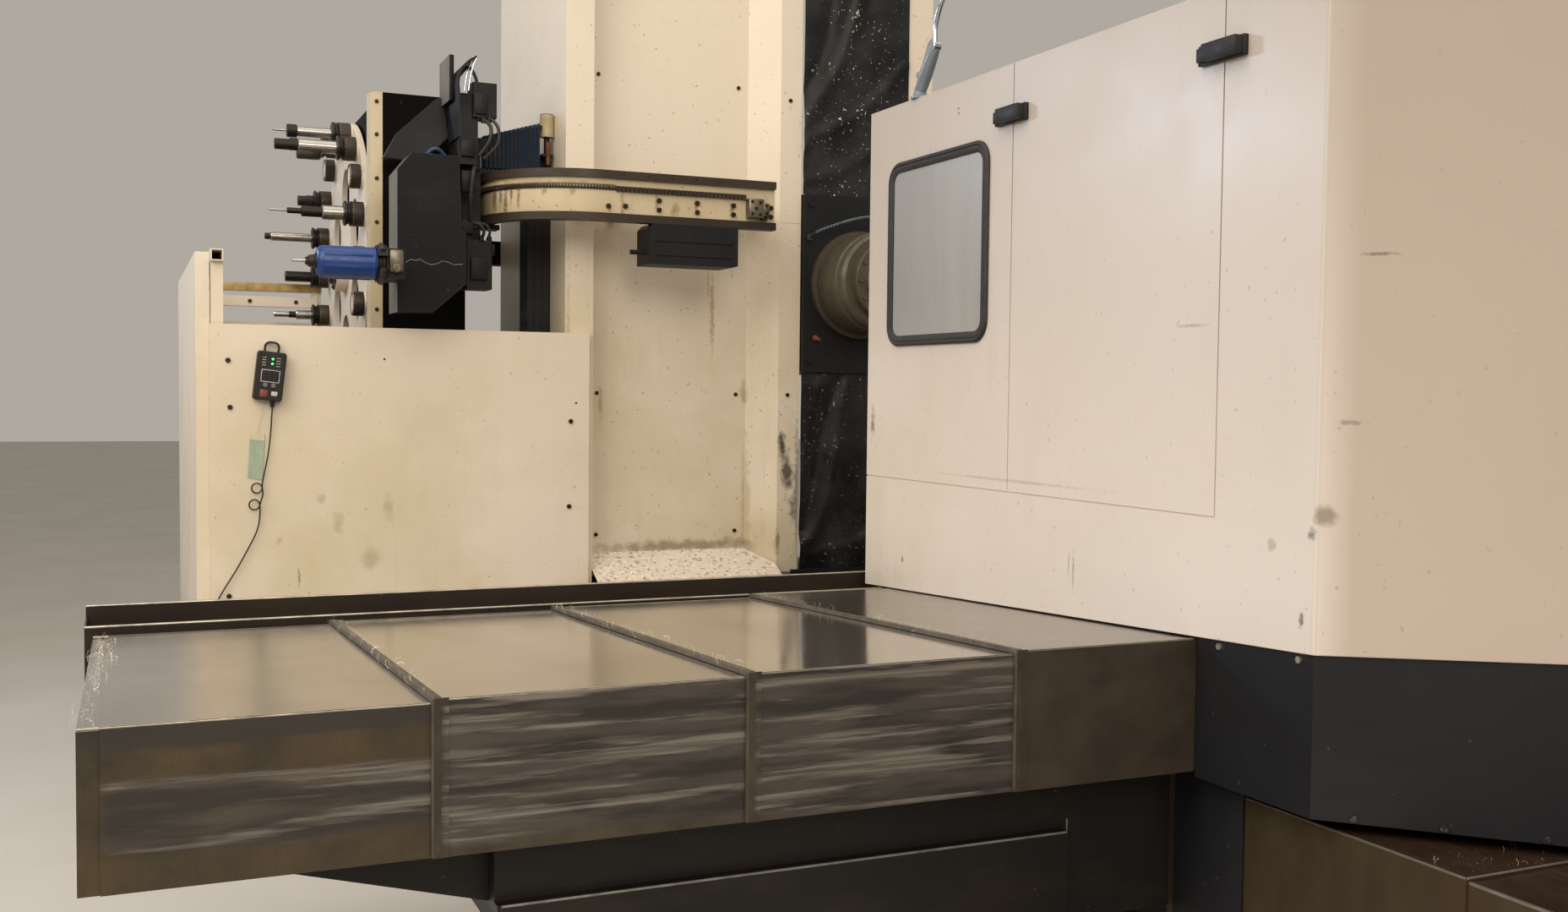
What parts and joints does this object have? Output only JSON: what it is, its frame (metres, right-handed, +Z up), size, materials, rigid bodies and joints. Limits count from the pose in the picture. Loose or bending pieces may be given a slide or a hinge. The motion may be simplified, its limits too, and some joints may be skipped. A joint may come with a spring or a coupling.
{
  "type": "horizontal boring mill",
  "caption": "Table-type horizontal boring mill with a moving column-side head, telescopic way covers, an open-backed enclosure on the table and a rail-guided tool changer.",
  "frame": {"origin": "on the floor under the spindle axis, midway along the saddle with the table at rest", "axes": "+X to the right along the table's cross travel, +Y towards the column, +Z up; the spindle points along -Y"},
  "size_m": [5.56, 5.86, 3.423],
  "materials": {
    "cream_paint": "cream enamel, yellowed and stained by oil",
    "dark_paint": "dark blue-grey paint, oily",
    "cover_steel": "ground sheet steel, smeared with oil",
    "cover_brown": "sheet steel browned by coolant",
    "machined_iron": "planed cast iron",
    "snout_iron": "turned casting, oily",
    "bright_steel": "turned and ground steel",
    "black_paint": "satin black paint",
    "black_plastic": "moulded plastic",
    "curtain_cloth": "coated black cloth",
    "blue_plastic": "blue plastic",
    "black_rubber": "black rubber",
    "clear_pane": "polycarbonate, hazed",
    "chrome_tube": "chromed tube"
  },
  "bodies": {
    "base": {"z_bed": "dark_paint", "leveling_feet": "dark_paint", "column": "dark_paint", "column_front_cover": "cream_paint", "column_right_guard": "cream_paint", "chip_chute": "cover_steel", "curtain_upper": "curtain_cloth", "curtain_lower": "curtain_cloth", "curtain_bar": "black_paint", "z_cover_front_3": "cover_brown", "z_cover_rear_3": "cover_brown", "magazine_frame": "dark_paint", "magazine_edge_plate": "cream_paint", "magazine_guard": "cream_paint", "cover_bolts": "bright_steel", "changer_rail": "cream_paint", "rail_tracks": "black_paint", "actuator_box": "black_paint", "cable_duct": "black_paint", "cable_chain": "blue_plastic", "pendant": "black_plastic", "pendant_cord": "black_rubber"},
    "saddle": {"saddle": "dark_paint", "chip_trough": "dark_paint", "x_cover_left_1": "cover_steel", "x_cover_right_1": "cover_steel", "z_cover_front_1": "cover_brown", "z_cover_rear_1": "cover_brown"},
    "z_cover_front_2": {"z_cover_front_2": "cover_brown"},
    "z_cover_rear_2": {"z_cover_rear_2": "cover_brown"},
    "x_cover_left_2": {"x_cover_left_2": "cover_steel"},
    "x_cover_left_3": {"x_cover_left_3": "cover_steel"},
    "x_cover_right_2": {"x_cover_right_2": "cover_steel"},
    "x_cover_right_3": {"x_cover_right_3": "cover_steel"},
    "table_slide": {"table_slide": "machined_iron", "x_cover_left_4": "cover_steel", "x_cover_right_4": "cover_steel", "enclosure": "cream_paint", "window_gasket": "black_rubber", "window_pane": "clear_pane", "latch_blocks": "black_plastic", "table_skirt": "dark_paint", "enclosure_bolts": "bright_steel", "work_lamp": "chrome_tube"},
    "rotary_table": {"rotary_table": "machined_iron"},
    "front_door_left": {"front_door_left": "cream_paint"},
    "front_door_right": {"front_door_right": "cream_paint"},
    "head": {"head_housing": "dark_paint", "head_front_plate": "black_paint", "spindle_snout": "snout_iron", "nose_ring": "bright_steel"},
    "milling_spindle": {"milling_spindle": "bright_steel"},
    "boring_spindle": {"boring_spindle": "bright_steel"},
    "tool_changer": {"changer_carriage": "black_paint", "carriage_cover": "black_paint", "carriage_shield": "black_paint", "tool_gripper": "black_paint", "gripped_tool": "blue_plastic"},
    "tool_magazine": {"magazine_disc": "bright_steel", "magazine_tools": "bright_steel"}
  },
  "joints": [
    {"name": "z_axis", "type": "slide", "parent": "base", "child": "saddle", "axis": [0, -1, 0], "range_m": [-1.1, 0.25]},
    {"name": "x_axis", "type": "slide", "parent": "saddle", "child": "table_slide", "axis": [-1, 0, 0], "range_m": [-0.5, 1.5]},
    {"name": "b_axis", "type": "hinge", "parent": "table_slide", "child": "rotary_table", "pos_m": [0.5, 0, 1.1], "axis": [0, 0, 1], "continuous": true},
    {"name": "front_door_left_hinge", "type": "hinge", "parent": "table_slide", "child": "front_door_left", "pos_m": [-0.192, -1.453, 1.6], "axis": [0, 0, -1], "range_deg": [0, 110]},
    {"name": "front_door_right_hinge", "type": "hinge", "parent": "table_slide", "child": "front_door_right", "pos_m": [1.192, -1.453, 1.6], "axis": [0, 0, 1], "range_deg": [0, 110]},
    {"name": "z_cover_front_slide", "type": "slide", "parent": "base", "child": "z_cover_front_2", "axis": [0, -1, 0], "range_m": [-0.55, 0.125]},
    {"name": "z_cover_rear_slide", "type": "slide", "parent": "base", "child": "z_cover_rear_2", "axis": [0, -1, 0], "range_m": [-0.55, 0.125]},
    {"name": "x_cover_left_2_slide", "type": "slide", "parent": "saddle", "child": "x_cover_left_2", "axis": [-1, 0, 0], "range_m": [-0.155, 0.465]},
    {"name": "x_cover_left_3_slide", "type": "slide", "parent": "saddle", "child": "x_cover_left_3", "axis": [-1, 0, 0], "range_m": [-0.3275, 0.9825]},
    {"name": "x_cover_right_2_slide", "type": "slide", "parent": "saddle", "child": "x_cover_right_2", "axis": [-1, 0, 0], "range_m": [-0.155, 0.465]},
    {"name": "x_cover_right_3_slide", "type": "slide", "parent": "saddle", "child": "x_cover_right_3", "axis": [-1, 0, 0], "range_m": [-0.3275, 0.9825]},
    {"name": "y_axis", "type": "slide", "parent": "base", "child": "head", "axis": [0, 0, 1], "range_m": [-0.5, 0.75], "deforming": ["curtain_upper", "curtain_lower"]},
    {"name": "spindle_axis", "type": "hinge", "parent": "head", "child": "milling_spindle", "pos_m": [0, 1.97, 1.94], "axis": [0, -1, 0], "continuous": true},
    {"name": "w_axis", "type": "slide", "parent": "milling_spindle", "child": "boring_spindle", "axis": [0, -1, 0], "range_m": [0, 0.5]},
    {"name": "magazine_axis", "type": "hinge", "parent": "base", "child": "tool_magazine", "pos_m": [-1.838, 3.3, 2], "axis": [1, 0, 0], "continuous": true},
    {"name": "changer_swing", "type": "hinge", "parent": "base", "child": "tool_changer", "pos_m": [-1.135, 2.38, 2.2], "axis": [0, 0, 1], "range_deg": [0, 90]}
  ],
  "couplings": [
    {"joint": "z_cover_front_slide", "follows": "z_axis", "ratio": 0.5},
    {"joint": "z_cover_rear_slide", "follows": "z_axis", "ratio": 0.5},
    {"joint": "x_cover_left_2_slide", "follows": "x_axis", "ratio": 0.31},
    {"joint": "x_cover_left_3_slide", "follows": "x_axis", "ratio": 0.655},
    {"joint": "x_cover_right_2_slide", "follows": "x_axis", "ratio": 0.31},
    {"joint": "x_cover_right_3_slide", "follows": "x_axis", "ratio": 0.655}
  ]
}
